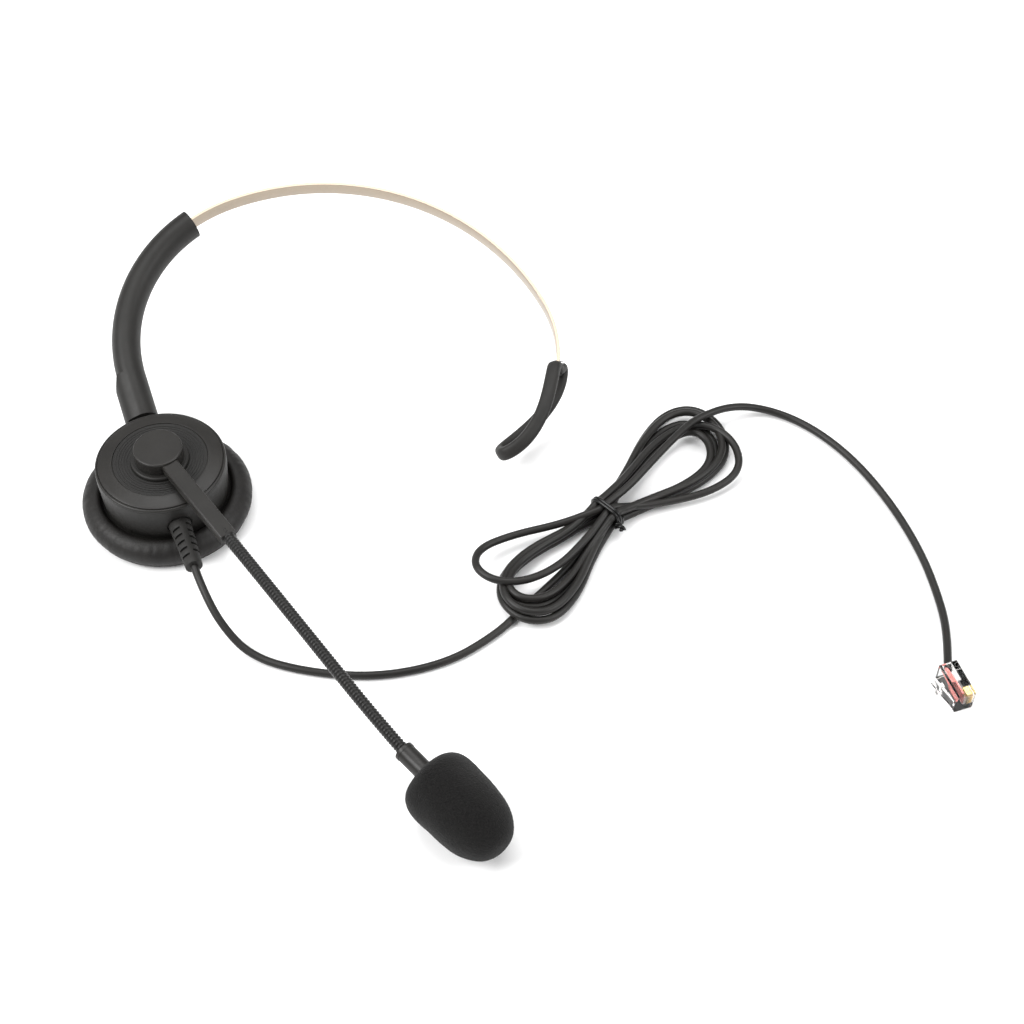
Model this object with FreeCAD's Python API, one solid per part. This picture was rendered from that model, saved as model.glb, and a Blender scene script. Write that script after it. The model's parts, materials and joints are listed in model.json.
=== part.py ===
import FreeCAD, Part
import os
from math import acos, atan2, cos, degrees, pi, radians, sin, tan

# Single-ear office headset lying on a table, cushion down. Millimetres, +Z up.
# Origin: centre of the cushion's contact face. X right, Y back, Z up.

V = FreeCAD.Vector
UP = V(0, 0, 1)

# ---------------------------------------------------------------- ear cup
CUSHION_R = 27.5
CUSHION_H = 9.6
CUSHION_HOLE_R = 10.5
PLATE_Z = 7.1
PLATE_T = 1.5
PLATE_R = 19.9
CUP_BASE_Z = PLATE_Z + PLATE_T
CUP_BASE_R = 20.0
CUP_TOP_R = 20.7
CUP_WALL = 1.6
CUP_RIM_Z = 21.2
RIM_GROOVE_R = 19.7
RIM_GROOVE_W = 0.3
FACE_Z = 23.3
FACE_R = 15.1
TRIM_Z = FACE_Z - 1.0
TRIM_T = 0.7
SCREW_CIRCLE_R = 17.0
SCREW_ANGLES = (30, 165, 240)
DRIVER_R = 14.2

# ---------------------------------------------------------------- boom
BOOM_AZ = -53.6
HUB_R = 7.7
HUB_Z = 24.35
HUB_TOP_Z = 28.8
COLLAR_R = 9.3
COLLAR_TOP_Z = 24.2
PIVOT_R = 4.0
FIT = 0.08
SLEEVE_W = 5.3
SLEEVE_Z0 = 24.45
SLEEVE_Z1 = 28.1
SLEEVE_END = 42.3
NECK_R = 1.95
FLEX_POINT = V(54.5, -71.2, 20.3)
MIC_AZ = -47.5
MIC_START = V(80.0, -101.6, 13.0)
MIC_SLOPE = -0.045
MIC_R = 3.0
MIC_STEM = 11.0
SCREEN_R = 11.7
SCREEN_L = 31.5
SCREEN_HOLLOW = 17.0

# ---------------------------------------------------------------- headband
HINGE_AZ = 110.0
HINGE_R = 23.66
HINGE_Z = 12.99
PIN_R = 0.9
LUG_R = 2.4
LUG_T = 2.0
BLOCK_W = 5.4
BAND_TILT = 18.0
BAND_ANGLE = 109.1
ARM_STRAIGHT = 18.9
ARM_START = 2.6
ARM_ARC_R = 52.2
ARM_ARC = 87.3
ARM_END = 70.0
CROWN_R = 84.6
CROWN_ARC = 83.5
SIDE_R = 41.3
SIDE_ARC = 27.5
ARM_DEPTH = 9.4
ARM_WIDTH = 11.0
SHOULDER_R = 6.3
SHOULDER_L = 12.0
SHOULDER_SLOPE = 5.0
STRIP_T = 1.1
STRIP_W = 5.8
STRIP_INSIDE = 34.0
CHANNEL_GAP = 0.25
STOP_T = 2.4
SHAFT_R = 2.0
SHAFT_L = 12.0
PAD_T = 4.0
PAD_W = 14.5
PAD_BAR = 3.6
PAD_ARC = 48.5
PAD_TOP_ACROSS = V(-0.20, -0.32, 0.92)
PAD_END_ACROSS = V(0.23, -0.52, 0.82)

# ---------------------------------------------------------------- cord
CORD_R = 1.3
REST_Z = 1.35
BOOT_AZ = -69.5
BOOT_Z = 13.4
BOOT_START = 19.2
BOOT_L = 18.5
BOOT_R0 = 3.6
BOOT_R1 = 2.7
HANK_H = 9.0
TIE_POINT = V(141.6, -6.6, 0)
TIE_AZ = 47.0
PLUG_START = V(242.2, -67.2, 0)
PLUG_AZ = -70.5
PLUG_L = 12.6
PLUG_W = 7.65
PLUG_D = 6.0


def polar(radius, angle, z=0.0):
    return V(radius * cos(radians(angle)), radius * sin(radians(angle)), z)


def save(name, shape):
    assert shape.isValid(), name
    shape.exportStep("parts/" + name + ".step")
    assert shape.Volume > 0, name
    box = shape.BoundBox
    print(name, round(shape.Volume, 1), [round(v, 1) for v in (
        box.XMin, box.XMax, box.YMin, box.YMax, box.ZMin, box.ZMax)])


def cylinder(radius, start, direction, length):
    return Part.makeCylinder(radius, length, start, direction)


def disc(radius, z0, z1, hole=0.0):
    body = cylinder(radius, V(0, 0, z0), UP, z1 - z0)
    if hole:
        body = body.cut(cylinder(hole, V(0, 0, z0 - 1), UP, z1 - z0 + 2))
    return body


def lathe(profile):
    """Solid of revolution about Z from (radius, z) points."""
    points = [V(r, 0, z) for r, z in profile]
    face = Part.Face(Part.makePolygon(points + [points[0]]))
    return face.revolve(V(0, 0, 0), UP, 360)


def oriented_box(size_x, size_y, size_z, centre, yaw):
    box = Part.makeBox(size_x, size_y, size_z, V(-size_x / 2, -size_y / 2, -size_z / 2))
    box.Placement = FreeCAD.Placement(centre, FreeCAD.Rotation(UP, yaw))
    return box


def compound(shapes):
    return Part.makeCompound(shapes)


# ================================================================ ear cup
def ear_cushion():
    edges = [
        Part.LineSegment(V(CUSHION_HOLE_R, 0, PLATE_Z), V(CUSHION_HOLE_R, 0, 2.6)),
        Part.Arc(V(CUSHION_HOLE_R, 0, 2.6), V(11.4, 0, 0.7), V(13.5, 0, 0)),
        Part.LineSegment(V(13.5, 0, 0), V(22.5, 0, 0)),
        Part.Arc(V(22.5, 0, 0), V(26.6, 0, 1.6), V(CUSHION_R, 0, 5.0)),
        Part.Arc(V(CUSHION_R, 0, 5.0), V(26.2, 0, 8.6), V(23.4, 0, CUSHION_H)),
        Part.LineSegment(V(23.4, 0, CUSHION_H), V(CUP_BASE_R + 0.1, 0, CUSHION_H)),
        Part.LineSegment(V(CUP_BASE_R + 0.1, 0, CUSHION_H), V(CUP_BASE_R + 0.1, 0, PLATE_Z)),
        Part.LineSegment(V(CUP_BASE_R + 0.1, 0, PLATE_Z), V(CUSHION_HOLE_R, 0, PLATE_Z)),
    ]
    wire = Part.Wire([edge.toShape() for edge in edges])
    return Part.Face(wire).revolve(V(0, 0, 0), UP, 360)


def cushion_plate():
    plate = disc(PLATE_R, PLATE_Z, CUP_BASE_Z)
    for ring_r, count in ((0, 1), (3.6, 6), (7.2, 12)):
        for i in range(count):
            centre = polar(ring_r, 360.0 * i / count, PLATE_Z - 1)
            plate = plate.cut(cylinder(0.9, centre, UP, PLATE_T + 2))
    for angle in SCREW_ANGLES:
        centre = polar(SCREW_CIRCLE_R, angle, PLATE_Z)
        plate = plate.cut(cylinder(1.7, centre, UP, 0.9))
        plate = plate.cut(cylinder(0.95, centre, UP, PLATE_T + 1))
    return plate


def cup_screws():
    screws = []
    for angle in SCREW_ANGLES:
        foot = polar(SCREW_CIRCLE_R, angle, PLATE_Z)
        head = cylinder(1.6, foot, UP, 0.9)
        slot = oriented_box(2.4, 0.4, 0.8, foot, angle)
        shank = cylinder(0.85, foot + V(0, 0, 0.9), UP, 5.6)
        screws.append(head.cut(slot).fuse(shank))
    return compound(screws)


def ear_scrim():
    return disc(CUSHION_HOLE_R - 0.3, PLATE_Z - 0.4, PLATE_Z)


def driver_frame():
    skirt = disc(DRIVER_R, CUP_BASE_Z, 12.0, 12.4)
    back = disc(DRIVER_R, 12.0, 13.2, 8.6)
    for i in range(6):
        vent = cylinder(0.8, polar(10.5, 60 * i, 11), UP, 4)
        back = back.cut(vent)
    return skirt.fuse(back).removeSplitter()


def driver_diaphragm():
    return lathe([(0, 10.3), (3.6, 9.9), (5.2, 9.4), (9.0, 10.1), (12.3, 9.4), (12.3, 9.65),
                  (9.0, 10.35), (5.2, 9.65), (3.6, 10.15), (0, 10.55)])


def driver_magnet():
    pot = disc(8.5, 10.8, 16.5)
    groove = disc(6.1, 9.0, 14.6, 4.9)
    return pot.cut(groove)


def voice_coil():
    return disc(5.7, 9.85, 13.6, 5.3)


def terminal_board():
    board = oriented_box(12.0, 7.0, 0.9, V(0, 0, 16.95), BOOT_AZ)
    for side in (-1, 1):
        along = polar(4.6, BOOT_AZ, 0)
        board = board.cut(cylinder(0.5, along * side + V(0, 0, 16), UP, 3))
    return board


def cup_housing():
    shell = lathe([(CUP_BASE_R, CUP_BASE_Z), (CUP_TOP_R, CUP_RIM_Z - 2.5), (CUP_TOP_R, CUP_RIM_Z),
                   (CUP_TOP_R - CUP_WALL, CUP_RIM_Z), (CUP_BASE_R - CUP_WALL, CUP_BASE_Z)])
    for angle in SCREW_ANGLES:
        boss = cylinder(2.1, polar(SCREW_CIRCLE_R, angle, CUP_BASE_Z), UP, 6.6)
        web = oriented_box(3.0, 2.4, 6.6, polar(SCREW_CIRCLE_R + 1.6, angle, CUP_BASE_Z + 3.3), angle)
        shell = shell.fuse(boss).fuse(web)
    for angle in SCREW_ANGLES:
        pilot = polar(SCREW_CIRCLE_R, angle, CUP_BASE_Z)
        shell = shell.cut(cylinder(0.85, pilot, UP, 5.4))
    out = polar(1, HINGE_AZ)
    side = polar(1, HINGE_AZ - 90)
    hinge = out * HINGE_R + V(0, 0, HINGE_Z)
    for sign in (-1, 1):
        inner = BLOCK_W / 2 + 0.3
        start = hinge + side * (sign * inner)
        lug = cylinder(LUG_R, start, side * sign, LUG_T)
        root_l = HINGE_R - 19.4
        root = oriented_box(root_l, LUG_T, 2 * LUG_R,
                            out * (19.4 + root_l / 2) + side * (sign * (inner + LUG_T / 2))
                            + V(0, 0, HINGE_Z), HINGE_AZ)
        shell = shell.fuse(lug).fuse(root)
    pin_hole = cylinder(PIN_R, hinge - side * 8, side, 16)
    shell = shell.cut(pin_hole)
    inside = lathe([(0, CUP_BASE_Z - 1), (CUP_BASE_R - CUP_WALL, CUP_BASE_Z - 1),
                    (CUP_BASE_R - CUP_WALL, CUP_BASE_Z), (CUP_TOP_R - CUP_WALL, CUP_RIM_Z), (0, CUP_RIM_Z)])
    bosses = compound([cylinder(4.4, polar(SCREW_CIRCLE_R, a, 0), UP, 30) for a in SCREW_ANGLES])
    shell = shell.cut(inside.cut(bosses))
    outlet = cylinder(2.6, polar(15, BOOT_AZ, BOOT_Z), polar(1, BOOT_AZ), 8)
    pocket = cylinder(BOOT_R0 + 0.5, polar(BOOT_START, BOOT_AZ, BOOT_Z), polar(1, BOOT_AZ), 4)
    return shell.cut(outlet).cut(pocket).removeSplitter()


def cup_cap():
    z = CUP_RIM_Z
    groove_out = RIM_GROOVE_R + RIM_GROOVE_W
    cap = lathe([(PIVOT_R + FIT, z), (CUP_TOP_R, z), (CUP_TOP_R, z + 0.4), (CUP_TOP_R - 0.3, z + 0.8),
                 (groove_out, z + 0.9), (groove_out, z + 0.6), (RIM_GROOVE_R, z + 0.6),
                 (RIM_GROOVE_R, z + 1.1), (FACE_R, FACE_Z), (FACE_R, TRIM_Z), (PIVOT_R + FIT, TRIM_Z)])
    spigot = disc(CUP_TOP_R - CUP_WALL - 0.1, z - 1.2, z, CUP_TOP_R - CUP_WALL - 1.4)
    return cap.fuse(spigot).removeSplitter()


def trim_disc():
    top = TRIM_Z + TRIM_T
    plate = disc(FACE_R - 0.12, TRIM_Z, top, COLLAR_R + 0.1)
    for i in range(5):
        groove_r = 10.3 + 0.85 * i
        plate = plate.cut(disc(groove_r + 0.16, top - 0.12, top + 1, groove_r))
    return plate


def hub_collar():
    return lathe([(PIVOT_R + FIT, TRIM_Z), (COLLAR_R, TRIM_Z), (COLLAR_R, COLLAR_TOP_Z - 0.4),
                  (COLLAR_R - 0.4, COLLAR_TOP_Z), (PIVOT_R + FIT, COLLAR_TOP_Z)])


def pivot_washer():
    return disc(6.4, 20.1, CUP_RIM_Z, PIVOT_R + FIT)


def strain_relief():
    out = polar(1, BOOT_AZ)
    start = polar(BOOT_START, BOOT_AZ, BOOT_Z)
    boot = Part.makeCone(BOOT_R0, BOOT_R1, BOOT_L, start, out)
    neck = cylinder(2.5, polar(16.4, BOOT_AZ, BOOT_Z), out, BOOT_START - 16.4 + 0.5)
    flange = cylinder(3.6, polar(15.6, BOOT_AZ, BOOT_Z), out, 1.6)
    side = polar(1, BOOT_AZ + 90)
    for i in range(5):
        for k in range(4):
            along = 3.2 + 2.7 * i + 1.35 * (k % 2)
            angle = radians(35 + 90 * k)
            direction = side * cos(angle) + UP * sin(angle)
            width = BOOT_R0 + (BOOT_R1 - BOOT_R0) * along / BOOT_L
            slot = Part.makeBox(0.9, 3.0, 1.6, V(-0.45, -1.5, -0.8))
            slot.Placement = FreeCAD.Placement(start + out * along + direction * width,
                                               FreeCAD.Rotation(out, direction.cross(out), direction))
            boot = boot.cut(slot)
    return boot.fuse(neck).fuse(flange).removeSplitter()


def cable_clamp():
    base = oriented_box(3.0, 8.0, 3.0, polar(13.9, BOOT_AZ, 14.8), BOOT_AZ)
    bore = cylinder(CORD_R, polar(11, BOOT_AZ, 14.8), polar(1, BOOT_AZ), 6)
    return base.cut(bore)


def hinge_pin():
    side = polar(1, HINGE_AZ - 90)
    hinge = polar(HINGE_R, HINGE_AZ, HINGE_Z)
    half = BLOCK_W / 2 + 0.3 + LUG_T
    return cylinder(PIN_R, hinge - side * half, side, 2 * half)


# ================================================================ boom
def boom_hub():
    hub = disc(HUB_R, HUB_Z, HUB_TOP_Z)
    rim = [edge for edge in hub.Edges if abs(edge.BoundBox.ZMin - HUB_TOP_Z) < 0.01]
    hub = hub.makeFillet(0.5, rim[:1])
    shaft = disc(PIVOT_R, 20.0, HUB_Z + 1)
    socket = oriented_box(8.0, SLEEVE_W, SLEEVE_Z1 - SLEEVE_Z0,
                          polar(8.0, BOOM_AZ, (SLEEVE_Z0 + SLEEVE_Z1) / 2), BOOM_AZ)
    thread = cylinder(1.2, V(0, 0, 19.5), UP, 6.5)
    return hub.fuse(shaft).cut(socket).cut(thread).removeSplitter()


def pivot_screw():
    head = disc(5.4, 18.8, 20.0)
    cross = compound([oriented_box(5.0, 0.8, 1.0, V(0, 0, 18.8), 0), oriented_box(0.8, 5.0, 1.0, V(0, 0, 18.8), 0)])
    shank = disc(1.2, 20.0, 25.5)
    return head.cut(cross).fuse(shank).removeSplitter()


def boom_sleeve():
    start = 4.1
    length = SLEEVE_END - start
    mid_z = (SLEEVE_Z0 + SLEEVE_Z1) / 2
    bar = oriented_box(length, SLEEVE_W, SLEEVE_Z1 - SLEEVE_Z0, polar(start + length / 2, BOOM_AZ, mid_z), BOOM_AZ)
    direction = polar(1, BOOM_AZ)
    long_edges = [e for e in bar.Edges if abs(e.Length - length) < 0.01]
    bar = bar.makeFillet(0.5, long_edges)
    socket = cylinder(1.6, polar(SLEEVE_END - 4.5, BOOM_AZ, mid_z), direction, 6)
    bore = cylinder(0.9, polar(start - 1, BOOM_AZ, mid_z), direction, length + 2)
    return bar.cut(socket).cut(bore)


def tube_path(points):
    """Straight runs joined by the largest tangent arcs that the runs allow."""
    edges = []
    radii = []
    start = points[0]
    for i in range(1, len(points) - 1):
        before = points[i] - points[i - 1]
        after = points[i + 1] - points[i]
        u = V(before).normalize()
        w = V(after).normalize()
        half = acos(max(-1.0, min(1.0, u.dot(w)))) / 2
        cut = 0.45 * min(before.Length, after.Length)
        radius = cut / tan(half)
        radii.append(round(radius, 1))
        a = points[i] - u * cut
        b = points[i] + w * cut
        inward = (w - u).normalize()
        centre = points[i] + inward * (radius / cos(half))
        mid = centre - inward * radius
        if (a - start).Length > 1e-6:
            edges.append(Part.LineSegment(start, a).toShape())
        edges.append(Part.Arc(a, mid, b).toShape())
        start = b
    edges.append(Part.LineSegment(start, points[-1]).toShape())
    return Part.Wire(edges), radii


def tube(name, points, radius):
    path, radii = tube_path(points)
    direction = (points[1] - points[0]).normalize()
    section = Part.Wire(Part.makeCircle(radius, points[0], direction))
    solid = path.makePipeShell([section], True, False)
    expected = pi * radius ** 2 * path.Length
    print(name, "length", round(path.Length, 1), "radii", radii,
          "volume ratio", round(solid.Volume / expected, 4))
    return solid


def gooseneck_points():
    """Hub-side and microphone-side stretches, each ending near the flex point."""
    d = polar(1, BOOM_AZ)
    m = polar(1, MIC_AZ)
    start = polar(SLEEVE_END, BOOM_AZ, (SLEEVE_Z0 + SLEEVE_Z1) / 2)
    lower = [start - d * 4.5, start + d * 11.0, FLEX_POINT]
    upper = [FLEX_POINT, MIC_START - m * 13.0 + V(0, 0, 3.0), MIC_START]
    return lower, upper


def gooseneck_lower():
    lower, _ = gooseneck_points()
    d = polar(1, BOOM_AZ)
    jacket = tube("gooseneck_lower", [lower[0] + d * 4.5, lower[1], lower[2]], NECK_R)
    ball = Part.makeSphere(NECK_R, FLEX_POINT)
    core = cylinder(1.55, lower[0] + d * 0.2, d, 5.0)
    return jacket.fuse(ball).fuse(core).removeSplitter()


def gooseneck_upper():
    _, upper = gooseneck_points()
    first = (upper[1] - upper[0]).normalize()
    start = upper[0] + first * (NECK_R + 0.25)
    return tube("gooseneck_upper", [start, upper[1], upper[2]], NECK_R)


def mic_direction():
    return polar(1, MIC_AZ, MIC_SLOPE).normalize()


def mic_housing():
    m = mic_direction()
    stem = cylinder(MIC_R, MIC_START, m, MIC_STEM + 13.0)
    collar = cylinder(MIC_R + 0.12, MIC_START, m, 1.2)
    head = cylinder(4.6, MIC_START + m * (MIC_STEM + 4), m, 10.0)
    body = stem.fuse(collar).fuse(head)
    cavity = cylinder(4.0, MIC_START + m * (MIC_STEM + 8), m, 8.0)
    return body.cut(cavity).removeSplitter()


def mic_capsule():
    m = mic_direction()
    return cylinder(3.95, MIC_START + m * (MIC_STEM + 8), m, 4.5)


def mic_grille():
    m = mic_direction()
    start = MIC_START + m * (MIC_STEM + 13.0)
    grille = cylinder(3.95, start, m, 0.8)
    side = V(0, 0, 1).cross(m).normalize()
    lift = m.cross(side).normalize()
    for i in range(6):
        angle = radians(60 * i)
        centre = start - m + side * (2.3 * cos(angle)) + lift * (2.3 * sin(angle))
        grille = grille.cut(cylinder(0.55, centre, m, 3))
    return grille.cut(cylinder(0.55, start - m, m, 3))


def windscreen():
    m = mic_direction()
    back = MIC_START + m * (MIC_STEM - 0.2)
    body = Part.makeCylinder(SCREEN_R, SCREEN_L, back, m)
    rings = [e for e in body.Edges if e.Curve.TypeId == "Part::GeomCircle"]
    rings.sort(key=lambda e: (e.CenterOfMass - back).Length)
    body = body.makeFillet(7.0, [rings[0]])
    rings = [e for e in body.Edges if e.Curve.TypeId == "Part::GeomCircle" and
             abs(e.Curve.Radius - SCREEN_R) < 0.01 and (e.CenterOfMass - back).dot(m) > SCREEN_L - 1]
    body = body.makeFillet(10.5, rings)
    bore = cylinder(MIC_R, back - m, m, SCREEN_HOLLOW + 1)
    pocket = cylinder(4.7, MIC_START + m * (MIC_STEM + 4), m, 10.2)
    return body.cut(bore).cut(pocket)


# ================================================================ headband
def band_place(shape):
    """From the band's plane (x, y in the plane, z across the strip) to the table frame."""
    hinge = polar(HINGE_R, HINGE_AZ, HINGE_Z)
    shape = shape.copy()
    shape.Placement = FreeCAD.Placement(hinge, FreeCAD.Rotation(V(1, 0, 0), BAND_TILT)).multiply(shape.Placement)
    return shape


def arc_stations():
    """Start point, centre and start heading of the three arcs of the band's centreline."""
    stations = []
    heading = BAND_ANGLE
    point = polar(ARM_STRAIGHT, heading)
    for radius, sweep in ((ARM_ARC_R, ARM_ARC), (CROWN_R, CROWN_ARC), (SIDE_R, SIDE_ARC)):
        centre = point + polar(radius, heading - 90)
        stations.append((centre, radius, heading + 90, sweep))
        point = centre + polar(radius, heading + 90 - sweep)
        heading = heading - sweep
    return stations


def band_point(arc, angle, offset=0.0):
    centre, radius, first, _ = arc_stations()[arc]
    return centre + polar(radius + offset, first - angle)


def arc_slab(arc, angle0, angle1, offset0, offset1, width):
    """Curved bar between two angles of one arc, offset0..offset1 from the centreline."""
    p = [band_point(arc, angle0, offset0), band_point(arc, angle1, offset0),
         band_point(arc, angle1, offset1), band_point(arc, angle0, offset1)]
    mid = (angle0 + angle1) / 2
    wire = Part.Wire([
        Part.Arc(p[0], band_point(arc, mid, offset0), p[1]).toShape(),
        Part.LineSegment(p[1], p[2]).toShape(),
        Part.Arc(p[2], band_point(arc, mid, offset1), p[3]).toShape(),
        Part.LineSegment(p[3], p[0]).toShape()])
    slab = Part.Face(wire).extrude(V(0, 0, width))
    slab.translate(V(0, 0, -width / 2))
    return slab


def arm_direction():
    return polar(1, BAND_ANGLE)


def arm_blank():
    """Whole oval arm tube in the band's plane."""
    d = arm_direction()
    side = polar(1, BAND_ANGLE - 90)
    ellipse = Part.Ellipse(V(0, 0, 0), ARM_WIDTH / 2, ARM_DEPTH / 2)
    section = Part.Wire(ellipse.toShape())
    section.Placement = FreeCAD.Placement(d * ARM_START, FreeCAD.Rotation(UP, side * -1, d))
    face = Part.Face(section)
    lower = face.extrude(d * (ARM_STRAIGHT - ARM_START))
    bend_face = face.copy()
    bend_face.translate(d * (ARM_STRAIGHT - ARM_START))
    centre = arc_stations()[0][0]
    bend = bend_face.revolve(centre, V(0, 0, -1), ARM_END)
    bulge = Part.Wire(Part.Ellipse(V(0, 0, 0), SHOULDER_R, ARM_WIDTH / 2 - 0.2).toShape())
    bulge.Placement = FreeCAD.Placement(d * ARM_START, FreeCAD.Rotation(side * -1, UP * -1, d))
    shoulder = Part.Face(bulge).extrude(d * (SHOULDER_L + SHOULDER_SLOPE))
    outer_half = oriented_box(12.4, 40, 20, d * 8 - side * 5.9, BAND_ANGLE - 90)
    drop = SHOULDER_R - ARM_DEPTH / 2 + 0.4
    slope = BAND_ANGLE - degrees(atan2(drop, SHOULDER_SLOPE))
    corner = d * (ARM_START + SHOULDER_L) - side * SHOULDER_R
    beyond = oriented_box(40, 20, 30, corner + polar(10, slope + 90) + polar(20, slope), slope)
    shoulder = shoulder.common(outer_half).cut(beyond)
    return lower.fuse(bend).fuse(shoulder).removeSplitter()


def arm_hollow():
    """Strip channel, its narrower mouth, and the swivel shaft's bore and clip slot."""
    d = arm_direction()
    gap = STRIP_T / 2 + CHANNEL_GAP
    mouth = arc_slab(0, ARM_END - 4.0, ARM_END + 3.0, -gap, gap, STRIP_W + 2 * CHANNEL_GAP)
    deep = STOP_T / 2 + CHANNEL_GAP
    channel = arc_slab(0, 14.0, ARM_END - 4.0, -deep, deep, STRIP_W + 2 * CHANNEL_GAP)
    bore = cylinder(SHAFT_R + FIT, V(0, 0, 0), d, SHAFT_L + 0.5)
    clip = cylinder(3.4, d * 9.3, d, 1.4)
    return mouth.fuse(channel).fuse(bore).fuse(clip)


def arm_screw_sites():
    return [arm_direction() * 18.0, band_point(0, 40.0, 2.9)]


def arm_screws():
    screws = []
    for site in arm_screw_sites():
        low = site + V(0, 0, -3.4)
        head = cylinder(1.1, low, UP, 0.9)
        shank = cylinder(0.6, low + V(0, 0, 0.9), UP, 4.9)
        screws.append(head.fuse(shank))
    return band_place(compound(screws))


def arm_half(upper):
    blank = arm_blank().cut(arm_hollow())
    for site in arm_screw_sites():
        low = site + V(0, 0, -3.4)
        blank = blank.cut(cylinder(1.1, low - V(0, 0, 4), UP, 4.9))
        blank = blank.cut(cylinder(0.6, low, UP, 5.8))
    z0 = 0.0 if upper else -30.0
    slab = Part.makeBox(200, 200, 30, V(-100, -80, z0))
    return band_place(blank.common(slab))


def arm_detent_spring():
    inner = -(STOP_T / 2 + CHANNEL_GAP)
    leaf = arc_slab(0, 46.0, 56.0, inner, inner + 0.15, 4.0)
    return band_place(leaf)


def swivel_block():
    d = arm_direction()
    out = polar(1, HINGE_AZ)
    side = polar(1, HINGE_AZ - 90)
    hinge = polar(HINGE_R, HINGE_AZ, HINGE_Z)
    barrel = cylinder(LUG_R - 0.2, hinge - side * (BLOCK_W / 2), side, BLOCK_W)
    shaft = band_place(cylinder(SHAFT_R, V(0, 0, 0), d, SHAFT_L))
    collar = band_place(cylinder(LUG_R - 0.3, V(0, 0, 0), d, ARM_START - 0.15))
    groove = band_place(cylinder(4, d * 9.6, d, 0.8).cut(cylinder(1.4, d * 9, d, 2)))
    hole = cylinder(PIN_R + 0.05, hinge - side * 6, side, 12)
    return barrel.fuse(shaft).fuse(collar).cut(groove).cut(hole).removeSplitter()


def swivel_clip():
    d = arm_direction()
    ring = cylinder(2.9, d * 9.65, d, 0.7).cut(cylinder(1.45, d * 9, d, 2))
    gap = oriented_box(3.4, 1.6, 1.2, d * 10.0 + polar(2.4, BAND_ANGLE + 90), BAND_ANGLE + 90)
    return band_place(ring.cut(gap))


def headband_strip():
    half = STRIP_T / 2
    strip = arc_slab(0, ARM_END - STRIP_INSIDE, ARM_ARC, -half, half, STRIP_W)
    strip = strip.fuse(arc_slab(1, 0, CROWN_ARC, -half, half, STRIP_W))
    strip = strip.fuse(arc_slab(2, 0, SIDE_ARC + 7.0, -half, half, STRIP_W))
    rivet = band_point(2, SIDE_ARC + 4.0, 0)
    strip = strip.cut(cylinder(0.9, rivet - polar(3, rivet_heading()), polar(1, rivet_heading()), 6))
    return band_place(strip.removeSplitter())


def rivet_heading():
    centre = arc_stations()[2][0]
    spot = band_point(2, SIDE_ARC + 4.0, 0)
    return degrees(atan2(spot.y - centre.y, spot.x - centre.x))


def strip_stop():
    half = STRIP_T / 2
    first = ARM_END - STRIP_INSIDE
    block = arc_slab(0, first - 1.2, first + 2.6, -STOP_T / 2, STOP_T / 2, STRIP_W - 0.6)
    return band_place(block.cut(arc_slab(0, first, first + 5, -half, half, STRIP_W + 2)))


def pad_spine(angle):
    """Point, tangent and outward direction on the pad's centreline, in the band's plane."""
    centre, radius, first, _ = arc_stations()[2]
    point = centre + polar(radius, first - angle)
    return point, polar(1, first - angle - 90), polar(1, first - angle)


def pad_across(angle):
    """Direction across the pad; it twists from the strip to the free end."""
    share = (angle - SIDE_ARC) / PAD_ARC
    return (PAD_TOP_ACROSS * (1 - share) + PAD_END_ACROSS * share).normalize()


def pad_bar(side):
    """One long side of the ring, a bent bar through three stations."""
    half = (PAD_W - PAD_BAR) / 2
    stations = []
    for share in (0.0, 0.5, 1.0):
        angle = SIDE_ARC + PAD_ARC * share
        point, _, _ = pad_spine(angle)
        stations.append(point + pad_across(angle) * (side * half))
    edge = Part.Arc(stations[0], stations[1], stations[2]).toShape()
    circle = edge.Curve
    radial = (stations[0] - circle.Center).normalize()
    across = V(circle.Axis)
    corners = [(-1, -1), (1, -1), (1, 1), (-1, 1)]
    points = [stations[0] + radial * (a * PAD_T / 2) + across * (b * PAD_BAR / 2) for a, b in corners]
    face = Part.Face(Part.makePolygon(points + [points[0]]))
    sweep = degrees(edge.LastParameter - edge.FirstParameter)
    return face.revolve(circle.Center, circle.Axis, sweep)


def pad_end():
    """Rounded free end that joins the two long sides."""
    angle = SIDE_ARC + PAD_ARC
    point, tangent, _ = pad_spine(angle)
    across = pad_across(angle)
    outward = tangent.cross(across).normalize()
    along = across.cross(outward).normalize()
    if along.dot(tangent) < 0:
        along = along * -1
    radius = PAD_W / 2
    drum = cylinder(radius, point - outward * (PAD_T / 2), outward, PAD_T)
    drum = drum.cut(cylinder(radius - PAD_BAR, point - outward * PAD_T, outward, 2 * PAD_T))
    keep = Part.makeBox(2 * radius, 4 * radius, 4 * PAD_T, V(-1.5, -2 * radius, -2 * PAD_T))
    keep.Placement = FreeCAD.Placement(point, FreeCAD.Rotation(along, outward.cross(along), outward))
    return drum.common(keep)


def temple_pad():
    pad = pad_bar(1).fuse(pad_bar(-1)).fuse(pad_end())
    pad = pad.fuse(arc_slab(2, SIDE_ARC + 0.5, SIDE_ARC + 9.5, -PAD_T / 2, PAD_T / 2, PAD_W - 6.0))
    half = STRIP_T / 2
    slot = arc_slab(2, SIDE_ARC - 15, SIDE_ARC + 7.0, -half, half, STRIP_W)
    rivet = band_point(2, SIDE_ARC + 4.0, 0)
    hole = cylinder(0.9, rivet - polar(PAD_T, rivet_heading()), polar(1, rivet_heading()), 2 * PAD_T)
    return band_place(pad.cut(slot).cut(hole).removeSplitter())


def pad_rivet():
    rivet = band_point(2, SIDE_ARC + 4.0, 0)
    out = polar(1, rivet_heading())
    return band_place(cylinder(0.9, rivet - out * (PAD_T / 2 - 0.2), out, PAD_T - 0.4))


# ================================================================ cord and plug
def boot_end():
    return polar(BOOT_START + BOOT_L, BOOT_AZ, BOOT_Z)


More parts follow.
